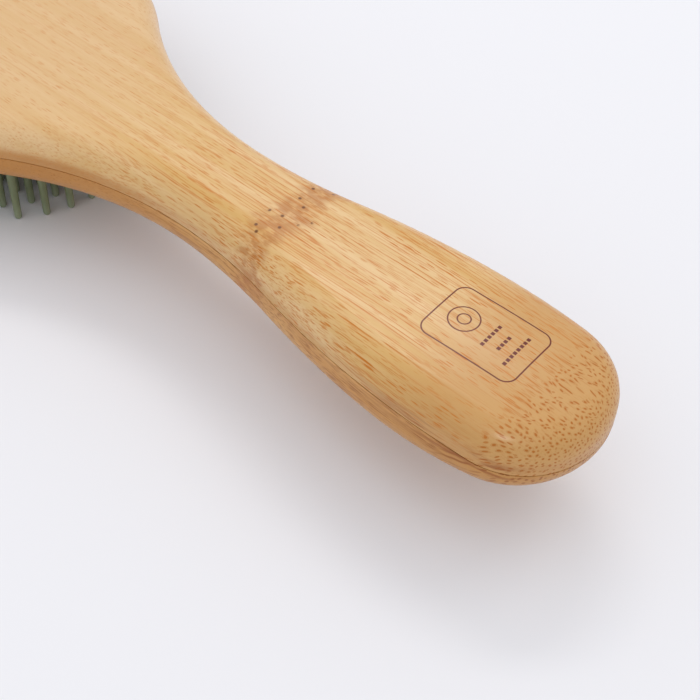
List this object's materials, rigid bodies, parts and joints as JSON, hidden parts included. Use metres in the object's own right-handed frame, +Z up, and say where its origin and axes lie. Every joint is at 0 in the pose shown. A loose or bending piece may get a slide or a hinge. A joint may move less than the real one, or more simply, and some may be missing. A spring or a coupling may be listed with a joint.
{
  "type": "paddle hair brush",
  "caption": "Paddle hair brush: laminated bamboo body with a long grip, sprung rubber air cushion and leaning pins.",
  "frame": {"origin": "on the floor under the middle of the brush's length and width, with the brush standing on its pin tips, back up", "axes": "+X along the brush toward the butt of the handle, -X toward the head, +Z up out of the back"},
  "size_m": [0.245, 0.084, 0.0347],
  "materials": {
    "bamboo_back": "satin",
    "bamboo_front": "satin",
    "glue": "satin",
    "cushion_rubber": "matte",
    "pin_nylon": "satin"
  },
  "bodies": {
    "boards": {"back_board": "bamboo_back", "glue_seam": "glue", "front_board": "bamboo_front"},
    "cushion": {"cushion": "cushion_rubber"},
    "pin_column_01_body": {"pin_column_01": "pin_nylon"},
    "pin_column_02_body": {"pin_column_02": "pin_nylon"},
    "pin_column_03_body": {"pin_column_03": "pin_nylon"},
    "pin_column_04_body": {"pin_column_04": "pin_nylon"},
    "pin_column_05_body": {"pin_column_05": "pin_nylon"},
    "pin_column_06_body": {"pin_column_06": "pin_nylon"},
    "pin_column_07_body": {"pin_column_07": "pin_nylon"},
    "pin_column_08_body": {"pin_column_08": "pin_nylon"},
    "pin_column_09_body": {"pin_column_09": "pin_nylon"},
    "pin_column_10_body": {"pin_column_10": "pin_nylon"},
    "pin_column_11_body": {"pin_column_11": "pin_nylon"},
    "pin_column_12_body": {"pin_column_12": "pin_nylon"}
  },
  "joints": [
    {"name": "cushion_press", "type": "slide", "parent": "boards", "child": "cushion", "axis": [0, 0, 1], "range_m": [0, 0.003], "stiffness_N_per_m": 2500, "springref_m": -0.0008, "deforming": ["cushion"]},
    {"name": "pin_lean_01", "type": "hinge", "parent": "cushion", "child": "pin_column_01_body", "pos_m": [-0.0595, -0.02915, 0.01572], "axis": [1, 0, 0], "range_deg": [-12, 12], "stiffness_Nm_per_rad": 0.15},
    {"name": "pin_lean_02", "type": "hinge", "parent": "cushion", "child": "pin_column_02_body", "pos_m": [-0.0595, -0.02385, 0.01558], "axis": [1, 0, 0], "range_deg": [-12, 12], "stiffness_Nm_per_rad": 0.15},
    {"name": "pin_lean_03", "type": "hinge", "parent": "cushion", "child": "pin_column_03_body", "pos_m": [-0.0595, -0.01855, 0.01547], "axis": [1, 0, 0], "range_deg": [-12, 12], "stiffness_Nm_per_rad": 0.15},
    {"name": "pin_lean_04", "type": "hinge", "parent": "cushion", "child": "pin_column_04_body", "pos_m": [-0.0595, -0.01325, 0.01539], "axis": [1, 0, 0], "range_deg": [-12, 12], "stiffness_Nm_per_rad": 0.15},
    {"name": "pin_lean_05", "type": "hinge", "parent": "cushion", "child": "pin_column_05_body", "pos_m": [-0.0595, -0.00795, 0.01533], "axis": [1, 0, 0], "range_deg": [-12, 12], "stiffness_Nm_per_rad": 0.15},
    {"name": "pin_lean_06", "type": "hinge", "parent": "cushion", "child": "pin_column_06_body", "pos_m": [-0.0595, -0.00265, 0.0153], "axis": [1, 0, 0], "range_deg": [-12, 12], "stiffness_Nm_per_rad": 0.15},
    {"name": "pin_lean_07", "type": "hinge", "parent": "cushion", "child": "pin_column_07_body", "pos_m": [-0.0595, 0.00265, 0.0153], "axis": [1, 0, 0], "range_deg": [-12, 12], "stiffness_Nm_per_rad": 0.15},
    {"name": "pin_lean_08", "type": "hinge", "parent": "cushion", "child": "pin_column_08_body", "pos_m": [-0.0595, 0.00795, 0.01533], "axis": [1, 0, 0], "range_deg": [-12, 12], "stiffness_Nm_per_rad": 0.15},
    {"name": "pin_lean_09", "type": "hinge", "parent": "cushion", "child": "pin_column_09_body", "pos_m": [-0.0595, 0.01325, 0.01539], "axis": [1, 0, 0], "range_deg": [-12, 12], "stiffness_Nm_per_rad": 0.15},
    {"name": "pin_lean_10", "type": "hinge", "parent": "cushion", "child": "pin_column_10_body", "pos_m": [-0.0595, 0.01855, 0.01547], "axis": [1, 0, 0], "range_deg": [-12, 12], "stiffness_Nm_per_rad": 0.15},
    {"name": "pin_lean_11", "type": "hinge", "parent": "cushion", "child": "pin_column_11_body", "pos_m": [-0.0595, 0.02385, 0.01558], "axis": [1, 0, 0], "range_deg": [-12, 12], "stiffness_Nm_per_rad": 0.15},
    {"name": "pin_lean_12", "type": "hinge", "parent": "cushion", "child": "pin_column_12_body", "pos_m": [-0.0595, 0.02915, 0.01572], "axis": [1, 0, 0], "range_deg": [-12, 12], "stiffness_Nm_per_rad": 0.15}
  ],
  "couplings": [
    {"joint": "pin_lean_01", "follows": "pin_lean_06", "ratio": 1},
    {"joint": "pin_lean_02", "follows": "pin_lean_06", "ratio": 1},
    {"joint": "pin_lean_03", "follows": "pin_lean_06", "ratio": 1},
    {"joint": "pin_lean_04", "follows": "pin_lean_06", "ratio": 1},
    {"joint": "pin_lean_05", "follows": "pin_lean_06", "ratio": 1},
    {"joint": "pin_lean_07", "follows": "pin_lean_06", "ratio": 1},
    {"joint": "pin_lean_08", "follows": "pin_lean_06", "ratio": 1},
    {"joint": "pin_lean_09", "follows": "pin_lean_06", "ratio": 1},
    {"joint": "pin_lean_10", "follows": "pin_lean_06", "ratio": 1},
    {"joint": "pin_lean_11", "follows": "pin_lean_06", "ratio": 1},
    {"joint": "pin_lean_12", "follows": "pin_lean_06", "ratio": 1}
  ]
}
